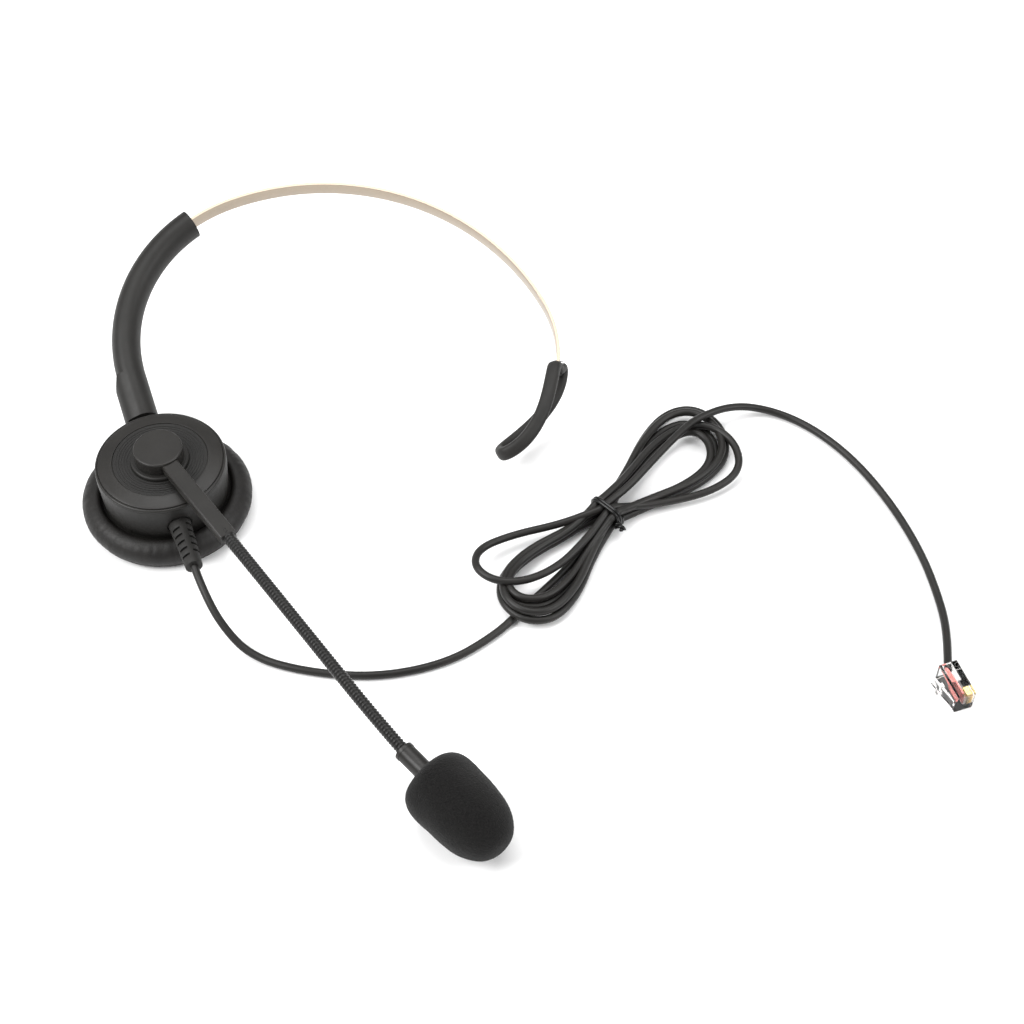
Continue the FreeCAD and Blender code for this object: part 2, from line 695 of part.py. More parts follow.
def cord_to_hank():
    points = [boot_end(), V(16.3, -43.0, 12.3), V(22.3, -52.6, 6.8), V(31.5, -60.6, REST_Z),
              V(48.0, -66.2, REST_Z), V(70.0, -68.4, REST_Z), V(91.5, -63.2, REST_Z),
              V(106.5, -52.2, REST_Z), V(114.5, -42.8, REST_Z)]
    return tube("cord_to_hank", points, CORD_R)


def cord_to_plug():
    points = [V(172.5, 31.5, 7.4), V(185.2, 38.8, 5.6), V(198.5, 40.0, 1.8), V(211.5, 32.6, REST_Z),
              V(223.8, 18.8, REST_Z), V(233.8, 0.4, REST_Z), V(241.2, -20.0, REST_Z),
              V(244.6, -39.0, REST_Z), V(245.0, -53.5, 2.4), V(242.8, -67.6, PLUG_W / 2)]
    return tube("cord_to_plug", points, CORD_R)


def cord_hank():
    """Outer shape of the tied hank: two lobes pinched at the tie."""
    left = [(137.0, -5.6), (126.0, -8.4), (113.0, -13.6), (103.0, -20.6), (100.0, -28.4),
            (102.6, -36.0), (108.0, -43.6), (117.0, -48.4), (127.0, -45.6), (134.0, -37.0),
            (139.6, -24.6), (144.6, -13.4)]
    right = [(154.0, -6.6), (168.0, -2.2), (180.0, 5.2), (187.6, 17.6), (186.0, 30.0),
             (179.0, 39.0), (168.6, 41.8), (158.4, 37.0), (149.6, 25.0), (142.6, 9.0)]
    curve = Part.BSplineCurve()
    curve.interpolate([V(x, y, 0) for x, y in left + right], PeriodicFlag=True)
    return Part.Face(Part.Wire(curve.toShape())).extrude(V(0, 0, HANK_H))


def hank_tie():
    outer = oriented_box(2.6, 15.4, HANK_H + 0.6, TIE_POINT + V(0, 0, (HANK_H + 0.6) / 2), TIE_AZ)
    inner = oriented_box(4.0, 12.6, HANK_H - 1.0, TIE_POINT + V(0, 0, (HANK_H + 0.2) / 2), TIE_AZ)
    knot = cylinder(1.2, TIE_POINT + polar(7.2, TIE_AZ - 90, 5.0), polar(1, TIE_AZ - 90), 4.0)
    return outer.cut(inner).fuse(knot).removeSplitter()


def plug_frame():
    """Plug's axes: along from cord end to nose, side away from the latch."""
    return polar(1, PLUG_AZ), polar(1, PLUG_AZ + 90)


def plug_box(s0, s1, t0, t1, z0, z1):
    """Box in the plug's frame: s along from the cord end, t across, z up."""
    along, side = plug_frame()
    centre = PLUG_START + along * ((s0 + s1) / 2) + side * ((t0 + t1) / 2) + V(0, 0, (z0 + z1) / 2)
    return oriented_box(s1 - s0, t1 - t0, z1 - z0, centre, PLUG_AZ)


def plug_body():
    half = PLUG_D / 2
    body = plug_box(0, PLUG_L, -half, half, 0, PLUG_W)
    mouth = plug_box(-1, 6.2, -1.6, 1.6, 1.6, PLUG_W - 1.6)
    body = body.cut(mouth)
    for i in range(4):
        z = PLUG_W / 2 + (i - 1.5) * 1.02
        body = body.cut(plug_box(8.6, 12.0, half - 2.2, half + 1, z - 0.2, z + 0.2))
        body = body.cut(plug_box(6.0, 12.0, -0.4, 0.4, z - 0.35, z + 0.35))
    return body


def plug_contacts():
    half = PLUG_D / 2
    blades = []
    for i in range(4):
        z = PLUG_W / 2 + (i - 1.5) * 1.02
        blades.append(plug_box(8.6, 11.8, half - 2.2, half - 0.3, z - 0.17, z + 0.17))
    return compound(blades)


def plug_wires():
    wires = []
    along, side = plug_frame()
    for i in range(4):
        z = PLUG_W / 2 + (i - 1.5) * 1.02
        wires.append(cylinder(0.33, PLUG_START + along * 6.2 + V(0, 0, z), along, 5.6))
    return compound(wires)


def plug_latch():
    half = PLUG_D / 2
    z0 = PLUG_W / 2 - 1.6
    z1 = PLUG_W / 2 + 1.6
    along, side = plug_frame()
    root = PLUG_START + along * (PLUG_L - 0.6) - side * (half + 0.55)
    tip = PLUG_START + along * -1.6 - side * (half + 3.2)
    run = tip - root
    heading = degrees(atan2(run.y, run.x))
    middle = root + run * 0.5 + V(0, 0, (z0 + z1) / 2)
    blade = oriented_box(run.Length, 0.8, z1 - z0, middle, heading)
    catch = plug_box(5.2, 6.6, -half - 2.9, -half - 1.2, z0 - 0.9, z1 + 0.9)
    return blade.fuse(catch).removeSplitter()


def build():
    os.makedirs("parts", exist_ok=True)
    makers = [ear_cushion, cushion_plate, cup_screws, ear_scrim, driver_frame, driver_diaphragm,
              driver_magnet, voice_coil, terminal_board, cup_housing, cup_cap, trim_disc, hub_collar,
              pivot_washer, strain_relief, cable_clamp, hinge_pin, boom_hub, pivot_screw, boom_sleeve,
              gooseneck_lower, gooseneck_upper, mic_housing, mic_capsule, mic_grille, windscreen,
              arm_screws, arm_detent_spring, swivel_block, swivel_clip, headband_strip, strip_stop,
              temple_pad, pad_rivet, cord_to_hank, cord_to_plug, cord_hank, hank_tie, plug_body,
              plug_contacts, plug_wires, plug_latch]
    for maker in makers:
        save(maker.__name__, maker())
    save("arm_shell_upper", arm_half(True))
    save("arm_shell_lower", arm_half(False))


build()
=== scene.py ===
import json
from math import cos, pi, radians, sin

import bpy
from mathutils import Matrix, Vector, noise


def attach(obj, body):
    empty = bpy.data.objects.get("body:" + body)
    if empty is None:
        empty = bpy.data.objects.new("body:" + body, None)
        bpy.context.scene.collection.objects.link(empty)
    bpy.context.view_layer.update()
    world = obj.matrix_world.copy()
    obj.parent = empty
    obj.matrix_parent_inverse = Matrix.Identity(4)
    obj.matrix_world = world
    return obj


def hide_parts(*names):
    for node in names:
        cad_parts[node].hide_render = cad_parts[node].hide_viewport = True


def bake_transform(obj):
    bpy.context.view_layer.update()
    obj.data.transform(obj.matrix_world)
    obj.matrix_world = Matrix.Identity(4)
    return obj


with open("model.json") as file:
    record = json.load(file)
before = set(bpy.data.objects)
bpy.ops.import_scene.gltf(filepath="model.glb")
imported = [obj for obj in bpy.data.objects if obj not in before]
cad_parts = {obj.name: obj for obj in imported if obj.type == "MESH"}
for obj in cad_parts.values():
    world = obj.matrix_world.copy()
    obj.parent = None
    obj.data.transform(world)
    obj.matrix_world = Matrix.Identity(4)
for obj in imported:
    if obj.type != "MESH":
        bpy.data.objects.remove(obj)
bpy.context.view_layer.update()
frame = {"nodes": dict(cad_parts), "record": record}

# Office headset lying on a table: ear cup cushion down, band and microphone boom spread out,
# cord tied in a hank. Places are in millimetres here and turned into metres by mm().

UP = Vector((0, 0, 1))


def mm(x, y, z=0.0):
    return Vector((x, y, z)) / 1000


def heading(angle):
    return Vector((cos(radians(angle)), sin(radians(angle)), 0))


def link(obj):
    bpy.context.scene.collection.objects.link(obj)
    return obj


# ---------------------------------------------------------------- camera
CAMERA_TARGET = mm(111.2, -2.8)
CAMERA_ELEVATION = 51.0
CAMERA_DISTANCE = 0.645
LENS = 70.0
SENSOR_WIDTH = 36.0


def make_camera():
    data = bpy.data.cameras.new("camera")
    data.lens = LENS
    data.sensor_width = SENSOR_WIDTH
    data.clip_start = 0.01
    camera = link(bpy.data.objects.new("camera", data))
    back = Vector((0, -cos(radians(CAMERA_ELEVATION)), sin(radians(CAMERA_ELEVATION))))
    camera.location = CAMERA_TARGET + back * CAMERA_DISTANCE
    camera.rotation_euler = (-back).to_track_quat("-Z", "Y").to_euler()
    bpy.context.scene.camera = camera


make_camera()

# ---------------------------------------------------------------- cord
CORD_R = 1.3
LIE = 1.35
BOOT_END = heading(-69.5) * 0.0377 + mm(0, 0, 13.4)
ROUTE_TO_HANK = [BOOT_END] + [mm(*p) for p in (
    (16.3, -43.0, 12.3), (22.3, -52.6, 6.8), (31.5, -60.6, LIE), (48.0, -66.2, LIE),
    (70.0, -68.4, LIE), (91.5, -63.2, LIE), (106.5, -52.2, LIE), (114.5, -42.8, LIE))]
ROUTE_TO_PLUG = [mm(*p) for p in (
    (172.5, 31.5, 7.4), (185.2, 38.8, 5.6), (198.5, 40.0, 1.8), (211.5, 32.6, LIE),
    (223.8, 18.8, LIE), (233.8, 0.4, LIE), (241.2, -20.0, LIE), (244.6, -39.0, LIE),
    (245.0, -53.5, 2.4), (242.8, -67.6, 3.825))]

TIE = mm(141.6, -6.6)
TIE_ANGLE = 47.0
WIRE_R = 0.55
ROW = 2.17
# where each strand passes the tie: across it, and height
LAYERS = [LIE + 2 * WIRE_R + ROW * i for i in range(3)]
OUTWARD_SLOTS = [(0.0, LAYERS[1]), (1.25, LAYERS[0]), (3.75, LAYERS[0]), (2.5, LAYERS[1]),
                 (3.75, LAYERS[2]), (1.25, LAYERS[2])]
RETURN_SLOTS = [(-3.75, LAYERS[0]), (-1.25, LAYERS[0]), (-2.5, LAYERS[1]),
                (-3.75, LAYERS[2]), (-1.25, LAYERS[2])]
# each loop: reach, width on the upper and lower side, drift of its tip,
# height on the upper and lower side, extra height at the tip
RIGHT_LOOPS = [(57.5, 13.0, 16.4, 5.0, LIE, LIE, 0.0), (51.5, 10.4, 13.6, 2.5, LIE, LIE, 0.0),
               (54.6, 11.8, 15.2, 3.6, 3.8, 3.8, 0.0), (47.5, 5.6, 12.2, 0.5, 3.8, 3.8, 0.0),
               (52.8, 9.4, 18.6, -4.0, 6.0, 2.8, 0.0)]
LEFT_LOOPS = [(50.2, 11.8, 13.2, -4.5, LIE, LIE, 2.6), (46.8, 8.6, 10.2, -1.5, LIE, LIE, 2.6),
              (49.0, 10.6, 12.2, -3.8, 3.7, 3.7, 2.5), (45.6, 7.8, 9.2, -1.2, 3.7, 3.7, 2.5),
              (47.6, 13.4, 8.2, 9.6, 4.6, 6.0, 2.5)]
LOOP_POINTS = 11
LOOP_PEAK = 0.6905


def at_tie(along, across, height):
    """A point in the tie's own axes: along the hank, across it, and up."""
    place = heading(TIE_ANGLE) * along + heading(TIE_ANGLE + 90) * across
    return TIE + place / 1000 + mm(0, 0, height)


def ease(x, start, end):
    t = min(1.0, max(0.0, (x - start) / (end - start)))
    return t * t * (3 - 2 * t)


def hank_loop(side, loop, slot_in, slot_out):
    """One teardrop loop on one side of the tie, from one slot in the tie to another."""
    reach, upper, lower, drift, high_upper, high_lower, lift = loop
    points = []
    for k in range(1, LOOP_POINTS):
        share = k / LOOP_POINTS
        turn = 2 * pi * share
        free = sin(turn / 2)
        far = (1 - cos(turn)) / 2
        bulge = sin(turn) * free ** 1.6 / LOOP_PEAK * side
        across = bulge * (upper if bulge > 0 else lower) + drift * far ** 2
        slot = slot_in if share < 0.5 else slot_out
        on_upper = (share < 0.5) == (side > 0)
        level = high_upper if on_upper else high_lower
        level += (high_upper + high_lower - 2 * level) / 2 * free ** 8
        loose = ease(free, 0.12, 0.62)
        across += slot[0] * (1 - loose)
        height = slot[1] * (1 - loose) + level * loose + lift * free ** 8
        points.append(at_tie(side * reach * far, across, height))
    return points


def through_tie(slot, side):
    return [at_tie(-2.0 * side, *slot), at_tie(2.0 * side, *slot)]


def cord_points():
    points = list(ROUTE_TO_HANK)
    points += [mm(121.8, -35.0, 1.5), mm(129.2, -26.4, 1.9), mm(135.4, -17.6, 3.0)]
    for i in range(len(RIGHT_LOOPS)):
        points += through_tie(OUTWARD_SLOTS[i], 1)
        points += hank_loop(1, RIGHT_LOOPS[i], OUTWARD_SLOTS[i], RETURN_SLOTS[i])
        points += through_tie(RETURN_SLOTS[i], -1)
        points += hank_loop(-1, LEFT_LOOPS[i], RETURN_SLOTS[i], OUTWARD_SLOTS[i + 1])
    points += through_tie(OUTWARD_SLOTS[-1], 1)
    points += [mm(149.0, 2.3, 7.0), mm(157.0, 12.4, 8.0), mm(165.0, 22.6, 8.2)]
    return points + ROUTE_TO_PLUG


def spline_object(name, points, radius=0.0):
    """A smooth curve with the given control points, as a round tube or, with no radius, a bare line."""
    curve = bpy.data.curves.new(name, "CURVE")
    curve.dimensions = "3D"
    curve.resolution_u = 8
    curve.bevel_depth = radius / 1000
    curve.bevel_resolution = 4
    curve.use_fill_caps = True
    spline = curve.splines.new("NURBS")
    spline.points.add(len(points) - 1)
    for point, place in zip(spline.points, points):
        point.co = (*place, 1.0)
    spline.order_u = 3
    spline.use_endpoint_u = True
    return link(bpy.data.objects.new(name, curve))


def line_points(points):
    """The places along the smooth curve with those control points."""
    obj = spline_object("guide", points)
    bpy.context.view_layer.update()
    mesh = bpy.data.meshes.new_from_object(obj)
    places = [v.co.copy() for v in mesh.vertices]
    bpy.data.objects.remove(obj)
    bpy.data.meshes.remove(mesh)
    return places


cord = spline_object("cord", cord_points(), CORD_R - 0.02)


# ---------------------------------------------------------------- mesh helpers
def mesh_object(name, verts, faces):
    mesh = bpy.data.meshes.new(name)
    mesh.from_pydata([tuple(v) for v in verts], [], faces)
    mesh.validate()
    mesh.shade_smooth()
    return link(bpy.data.objects.new(name, mesh))


def ring_faces(rows, around, loop_rows=False):
    """Quads between rows of vertices, each row a closed ring."""
    faces = []
    last = rows if loop_rows else rows - 1
    for j in range(last):
        for i in range(around):
            a = j * around + i
            b = j * around + (i + 1) % around
            c = ((j + 1) % rows) * around + (i + 1) % around
            d = ((j + 1) % rows) * around + i
            faces.append((a, b, c, d))
    return faces


def capped(rows, around):
    first = tuple(range(around - 1, -1, -1))
    last = tuple(range((rows - 1) * around, rows * around))
    return ring_faces(rows, around) + [first, last]


def resampled(places, step):
    """The same line with points an even step apart."""
    result = [places[0].copy()]
    left = step
    for a, b in zip(places, places[1:]):
        run = (b - a).length
        done = 0.0
        while run - done >= left:
            done += left
            result.append(a.lerp(b, done / run))
            left = step
        left -= run - done
    result.append(places[-1].copy())
    return result


def swept_tube(name, places, around, radius_at):
    """A closed tube along a line; radius_at(distance, angle) gives its radius."""
    tangent = (places[1] - places[0]).normalized()
    side = tangent.cross(UP).normalized()
    verts = []
    distance = 0.0
    for j, place in enumerate(places):
        ahead = places[min(j + 1, len(places) - 1)] - places[max(j - 1, 0)]
        ahead.normalize()
        side = (side - ahead * side.dot(ahead)).normalized()
        lift = ahead.cross(side)
        if j:
            distance += (place - places[j - 1]).length
        for i in range(around):
            angle = 2 * pi * i / around
            radius = radius_at(distance, angle)
            verts.append(place + (side * cos(angle) + lift * sin(angle)) * radius)
    return mesh_object(name, verts, capped(len(places), around))


# ---------------------------------------------------------------- ear cushion
CUSHION_PROFILE = [(10.5, 7.05), (10.2, 5.2), (10.4, 3.0), (11.2, 1.3), (12.8, 0.35), (15.0, 0.05),
                   (18.5, 0.0), (21.8, 0.05), (24.2, 0.35), (25.9, 1.0), (26.5, 1.5), (26.35, 1.85),
                   (26.75, 2.3), (27.3, 3.5), (27.5, 5.0), (27.1, 6.6), (26.1, 8.0), (24.6, 9.05),
                   (22.9, 9.5), (21.6, 9.25), (21.0, 8.5), (20.95, 7.6), (20.4, 7.05), (15.5, 7.05)]


def make_cushion():
    around = 220
    verts = []
    for j, (r, z) in enumerate(CUSHION_PROFILE):
        loose = ease(r, 20.5, 26.0) * ease(z, 0.4, 2.5)
        for i in range(around):
            angle = 2 * pi * i / around
            spot = Vector((cos(angle) * 5.5, sin(angle) * 5.5, z * 0.14))
            pucker = noise.noise(spot * 2.6) * 0.16 + noise.noise(spot * 0.7) * 0.14
            crease = abs(noise.noise(spot * 1.9 + Vector((7, 3, 0))))
            dent = 0.16 * ease(0.10 - crease, 0.0, 0.10)
            radius = r + (pucker * 0.6 - dent - 0.12) * loose
            height = z + (pucker * 0.7 - dent - 0.1) * loose * ease(z, 4.0, 8.0)
            verts.append(mm(radius * cos(angle), radius * sin(angle), height))
    cushion = mesh_object("ear_cushion_cover", verts,
                          ring_faces(len(CUSHION_PROFILE), around, loop_rows=True))
    add_subdivision(cushion, 1)
    return cushion


def add_subdivision(obj, levels):
    modifier = obj.modifiers.new("smooth", "SUBSURF")
    modifier.levels = levels
    modifier.render_levels = levels


cushion = make_cushion()

# ---------------------------------------------------------------- boom and microphone
BOOM_ANGLE = -53.6
SLEEVE_END = 42.3
SLEEVE_MID_Z = 26.275
FLEX_POINT = mm(54.5, -71.2, 20.3)
MIC_ANGLE = -47.5
MIC_START = mm(80.0, -101.6, 13.0)
MIC_AXIS = (heading(MIC_ANGLE) + Vector((0, 0, -0.045))).normalized()
NECK_R = 1.95
COIL_PITCH = 1.1
SCREEN_BACK = 10.8
SCREEN_PROFILE = [(0.0, 3.05), (0.0, 5.6), (0.25, 8.4), (1.3, 10.2), (3.2, 11.3), (6.0, 11.7),
                  (10.0, 11.75), (15.0, 11.6), (20.0, 11.1), (24.0, 10.1), (27.6, 8.3), (29.9, 6.0),
                  (31.0, 3.6), (31.3, 1.6)]


def make_gooseneck():
    """Steel coil: one smooth neck whose surface is a fine helical ridge."""
    out = heading(BOOM_ANGLE)
    start = out * SLEEVE_END / 1000 + mm(0, 0, SLEEVE_MID_Z)
    inside = start - out * 0.003
    knee = MIC_START - heading(MIC_ANGLE) * 0.013 + mm(0, 0, 3.0)
    line = line_points([inside, start + out * 0.011, FLEX_POINT, knee, MIC_START + MIC_AXIS * 0.0008])
    places = resampled(line, COIL_PITCH / 8000)

    def ridge(distance, angle):
        phase = 2 * pi * distance * 1000 / COIL_PITCH - angle
        groove = (0.5 - 0.5 * cos(phase)) ** 3
        return (NECK_R - 0.3 * groove) / 1000

    return swept_tube("gooseneck_coil", places, 18, ridge)


def make_windscreen():
    """Open-cell foam cover, a barrel with a flat shoulder at the stem and a round nose."""
    side = MIC_AXIS.cross(UP).normalized()
    lift = side.cross(MIC_AXIS).normalized()
    around = 96
    guide = line_points([Vector((r, s, 0)) for s, r in SCREEN_PROFILE])
    outline = resampled(guide, 0.55)
    back = MIC_START + MIC_AXIS * SCREEN_BACK / 1000
    verts = []
    for place in outline:
        for i in range(around):
            angle = 2 * pi * i / around
            out = side * cos(angle) + lift * sin(angle)
            base = MIC_AXIS * (place.y / 1000) + out * (place.x / 1000)
            lump = noise.noise(base * 160) * 0.22
            cell = noise.noise(base * 1500) * 0.07 + noise.noise(base * 3400) * 0.06
            swell = (lump + cell - 0.25) / 1000 * ease(place.x, 2.5, 6.0)
            verts.append(back + base + out * swell)
    screen = mesh_object("windscreen_foam", verts, capped(len(outline), around))
    add_subdivision(screen, 1)
    return screen


gooseneck = make_gooseneck()
windscreen = make_windscreen()

# ---------------------------------------------------------------- twist tie
TIE_HALF_W = 5.7
TIE_TURNS = 2.3
TIE_SPREAD = 2.4


def wire_radius(distance, angle):
    return WIRE_R / 1000


def make_tie():
    """Coated wire wound round the strands, its two ends twisted together at the lower side."""
    top = LAYERS[2] + CORD_R + WIRE_R
    middle = (top + WIRE_R + 0.05) / 2
    half_h = middle - WIRE_R - 0.05
    steps = 96
    loop = []
    for i in range(steps + 1):
        turn = 2 * pi * TIE_TURNS * i / steps - 0.5 * pi
        c, s = cos(turn), sin(turn)
        bend = (abs(c) ** 3.2 + abs(s) ** 3.2) ** (-1 / 3.2)
        along = TIE_SPREAD * (i / steps - 0.5)
        loop.append(at_tie(along - 0.4 * s, -TIE_HALF_W * c * bend, middle + half_h * s * bend))
    return swept_tube("twist_tie", resampled(loop, 0.0003), 12, wire_radius)


def make_tie_ends():
    """The twisted pair of ends, a short two-strand rope standing off the tie."""
    start = at_tie(-1.2, -5.2, 4.4)
    end = at_tie(-2.2, -8.9, 5.0)
    axis = (end - start).normalized()
    side = axis.cross(UP).normalized()
    lift = side.cross(axis)
    ends = []
    for k in range(2):
        places = []
        for i in range(41):
            share = i / 40
            turn = 2 * pi * 1.1 * share + pi * k
            spin = (side * cos(turn) + lift * sin(turn)) * WIRE_R / 1000
            places.append(start.lerp(end, share) + spin)
        ends.append(swept_tube(f"twist_tie_end_{k}", places, 10, wire_radius))
    return ends


tie = make_tie()
tie_ends = make_tie_ends()

# ---------------------------------------------------------------- temple pad
HINGE = heading(110.0) * 0.02366 + mm(0, 0, 12.99)
BAND_TILT = 18.0
BAND_RUN = 18.9
BAND_HEADING = 109.1
BAND_ARCS = ((52.2, 87.3), (84.6, 83.5))
SIDE_R = 41.3
PAD_FROM = 27.8
PAD_TO = 87.4
PAD_HALF_W = 7.25
PAD_BAR = 3.5
PAD_T = 4.6
PAD_NOTCH = 3.2
PAD_TOP_ACROSS = Vector((-0.37, -0.29, 0.90))
PAD_END_ACROSS = Vector((0.23, -0.52, 0.82))


def side_arc():
    """Centre and first heading of the band's last arc, in the band's own plane."""
    angle = BAND_HEADING
    point = heading(angle) * BAND_RUN
    for radius, sweep in BAND_ARCS:
        centre = point + heading(angle - 90) * radius
        point = centre + heading(angle + 90 - sweep) * radius
        angle -= sweep
    return point + heading(angle - 90) * SIDE_R, angle + 90


def pad_frame(angle):
    """Point on the pad's centreline with its across and outward directions, in the band's own axes."""
    centre, first = side_arc()
    share = ease(angle, PAD_FROM, PAD_TO)
    across = PAD_TOP_ACROSS.lerp(PAD_END_ACROSS, share).normalized()
    tangent = heading(first - angle - 90)
    outward = tangent.cross(across).normalized()
    return centre + heading(first - angle) * SIDE_R, across, outward


def band_place(place):
    turn = Matrix.Rotation(radians(BAND_TILT), 3, "X")
    return HINGE + turn @ (place / 1000)


def rounded(angle, half_a, half_b, power):
    """A point of a rounded rectangle."""
    c, s = cos(angle), sin(angle)
    size = (abs(c) ** power + abs(s) ** power) ** (-1 / power)
    return half_a * c * size, half_b * s * size


def make_pad():
    """Rubber loop, a long ring bent round the temple, two-lobed where the strip enters it."""
    around, section = 150, 20
    middle = (PAD_FROM + PAD_TO) / 2
    half = (PAD_TO - PAD_FROM) / 2 * pi / 180 * SIDE_R - PAD_BAR / 2
    centres, outs = [], []
    for i in range(around):
        along, lateral = rounded(2 * pi * i / around, half, PAD_HALF_W - PAD_BAR / 2, 2.7)
        if along < 0:
            along += PAD_NOTCH * max(0.0, 1 - (lateral / 4.2) ** 2) ** 2
        point, across, outward = pad_frame(middle + along / SIDE_R * 180 / pi)
        centres.append(band_place(point + across * lateral))
        outs.append((band_place(point + outward) - band_place(point)).normalized())
    verts = []
    for i in range(around):
        run = (centres[(i + 1) % around] - centres[i - 1]).normalized()
        wide = run.cross(outs[i]).normalized()
        for k in range(section):
            a, b = rounded(2 * pi * k / section, PAD_BAR / 2, PAD_T / 2, 3.0)
            verts.append(centres[i] + (wide * a + outs[i] * b) / 1000)
    pad = mesh_object("temple_pad_rubber", verts, ring_faces(around, section, loop_rows=True))
    add_subdivision(pad, 1)
    return pad


def make_pad_tongue():
    """Moulded tongue that holds the end of the strip, between the pad's two lobes."""
    section = 24
    stations = 9
    verts = []
    for j in range(stations):
        share = j / (stations - 1)
        full = 1 - abs(2 * share - 1) ** 4 * 0.45
        point, across, outward = pad_frame(PAD_FROM + 2.2 + 8.0 * share)
        for k in range(section):
            a, b = rounded(2 * pi * k / section, 4.1 * full, 1.45 * full, 3.2)
            verts.append(band_place(point + across * a + outward * b))
    tongue = mesh_object("temple_pad_tongue", verts, capped(stations, section))
    add_subdivision(tongue, 1)
    return tongue


pad = make_pad()
pad_tongue = make_pad_tongue()

# ---------------------------------------------------------------- plug wires
PLUG_START = mm(242.2, -67.2, 3.825)
PLUG_ANGLE = -70.5
WIRE_PITCH = 1.02
# distance along the plug, and how far the wires have fanned out there
WIRE_FAN = ((0.0, 0.35), (1.6, 0.5), (3.6, 0.95), (5.4, 1.0), (7.6, 1.0), (10.6, 1.0))


def plug_wire_radius(distance, angle):
    """Thicker where the wire leaves the jacket."""
    return (0.33 + 0.12 * ease(0.004 - distance, 0.0, 0.003)) / 1000


def make_plug_wires():
    """Four insulated wires that fan out from the jacket to the contacts."""
    along = heading(PLUG_ANGLE)
    wires = []
    for i in range(4):
        rise = (i - 1.5) * WIRE_PITCH
        places = [PLUG_START + along * (s / 1000) + mm(0, 0, rise * spread)
                  for s, spread in WIRE_FAN]
        wires.append(swept_tube(f"plug_wire_{i}", line_points(places), 10, plug_wire_radius))
    return wires


plug_wires = make_plug_wires()


# ---------------------------------------------------------------- materials
class Surface:
    """A procedural material: Principled shader with colour variation, roughness and bump in object space."""

    def __init__(self, name, colour, roughness, metallic=0.0):
        self.material = bpy.data.materials.new(name)
        self.material.use_nodes = True
        self.tree = self.material.node_tree
        self.shader = self.tree.nodes["Principled BSDF"]
        self.colour = colour
        self.shader.inputs["Base Color"].default_value = (*colour, 1)
        self.shader.inputs["Roughness"].default_value = roughness
        self.shader.inputs["Metallic"].default_value = metallic
        self.coordinates = self.node("ShaderNodeTexCoord").outputs["Object"]
        self.normal = None

    def node(self, kind, **settings):
        made = self.tree.nodes.new(kind)
        for key, value in settings.items():
            setattr(made, key, value)
        return made

    def join(self, source, target):
        self.tree.links.new(source, target)

    def noise(self, scale, detail=3.0, stretch=(1, 1, 1)):
        """Fractal noise with so many features to the millimetre."""
        mapping = self.node("ShaderNodeMapping")
        mapping.inputs["Scale"].default_value = stretch
        texture = self.node("ShaderNodeTexNoise")
        texture.inputs["Scale"].default_value = scale * 1000
        texture.inputs["Detail"].default_value = detail
        self.join(self.coordinates, mapping.inputs["Vector"])
        self.join(mapping.outputs["Vector"], texture.inputs["Vector"])
        return texture.outputs["Fac"]

    def cells(self, scale):
        texture = self.node("ShaderNodeTexVoronoi", feature="F1")
        texture.inputs["Scale"].default_value = scale * 1000
        self.join(self.coordinates, texture.inputs["Vector"])
        return texture.outputs["Distance"]

    def wave(self, per_mm, kind="BANDS", direction="X"):
        texture = self.node("ShaderNodeTexWave", wave_type=kind)
        if kind == "RINGS":
            texture.rings_direction = direction
        else:
            texture.bands_direction = direction
        texture.inputs["Scale"].default_value = per_mm * 1000 * 2 * pi / 20
        texture.inputs["Distortion"].default_value = 0.0
        self.join(self.coordinates, texture.inputs["Vector"])
        return texture.outputs["Fac"]

    def vary(self, source, low, high):
        """Colour between low and high times its plain value, by a texture."""
        ramp = self.node("ShaderNodeValToRGB")
        for element, share in zip(ramp.color_ramp.elements, (low, high)):
            element.color = (*[min(1.0, c * share) for c in self.colour], 1)
        ramp.color_ramp.elements[0].position = 0.3
        ramp.color_ramp.elements[1].position = 0.7
        self.join(source, ramp.inputs["Fac"])
        self.join(ramp.outputs["Color"], self.shader.inputs["Base Color"])
        return self

    def polish(self, source, low, high):
        """Roughness between low and high, by a texture."""
        span = self.node("ShaderNodeMapRange")
        span.inputs["To Min"].default_value = low
        span.inputs["To Max"].default_value = high
        self.join(source, span.inputs["Value"])
        self.join(span.outputs["Result"], self.shader.inputs["Roughness"])
        return self

    def bump(self, source, depth_mm, strength=1.0):
        bump = self.node("ShaderNodeBump")
        bump.inputs["Strength"].default_value = strength
        bump.inputs["Distance"].default_value = depth_mm / 1000
        self.join(source, bump.inputs["Height"])
        if self.normal:
            self.join(self.normal, bump.inputs["Normal"])
        self.normal = bump.outputs["Normal"]
        self.join(self.normal, self.shader.inputs["Normal"])
        return self

    def set(self, **values):
        for key, value in values.items():
            self.shader.inputs[key.replace("_", " ")].default_value = value
        return self


def moulded(name, colour, low, high, grain=0.02):
    """Moulded plastic or rubber: faint cloudiness, fine spark texture, uneven gloss."""
    s = Surface(name, colour, (low + high) / 2)
    s.vary(s.noise(0.12), 0.86, 1.14)
    s.polish(s.noise(0.6, 5), low, high)
    s.bump(s.noise(3.2, 2), grain, 0.5)
    return s.set(Specular_IOR_Level=0.26)


def metal(name, colour, low, high, stretch=(1, 1, 1)):
    s = Surface(name, colour, low, metallic=1.0)
    streaks = s.noise(1.2, 4, stretch)
    s.vary(streaks, 0.9, 1.06)
    s.polish(streaks, low, high)
    return s.bump(streaks, 0.01, 0.4)


def trim_plastic():
    s = moulded("turned_trim", (0.0125, 0.0120, 0.0112), 0.36, 0.5, 0.01)
    return s.bump(s.wave(1.9, "RINGS", "Z"), 0.035, 0.8)


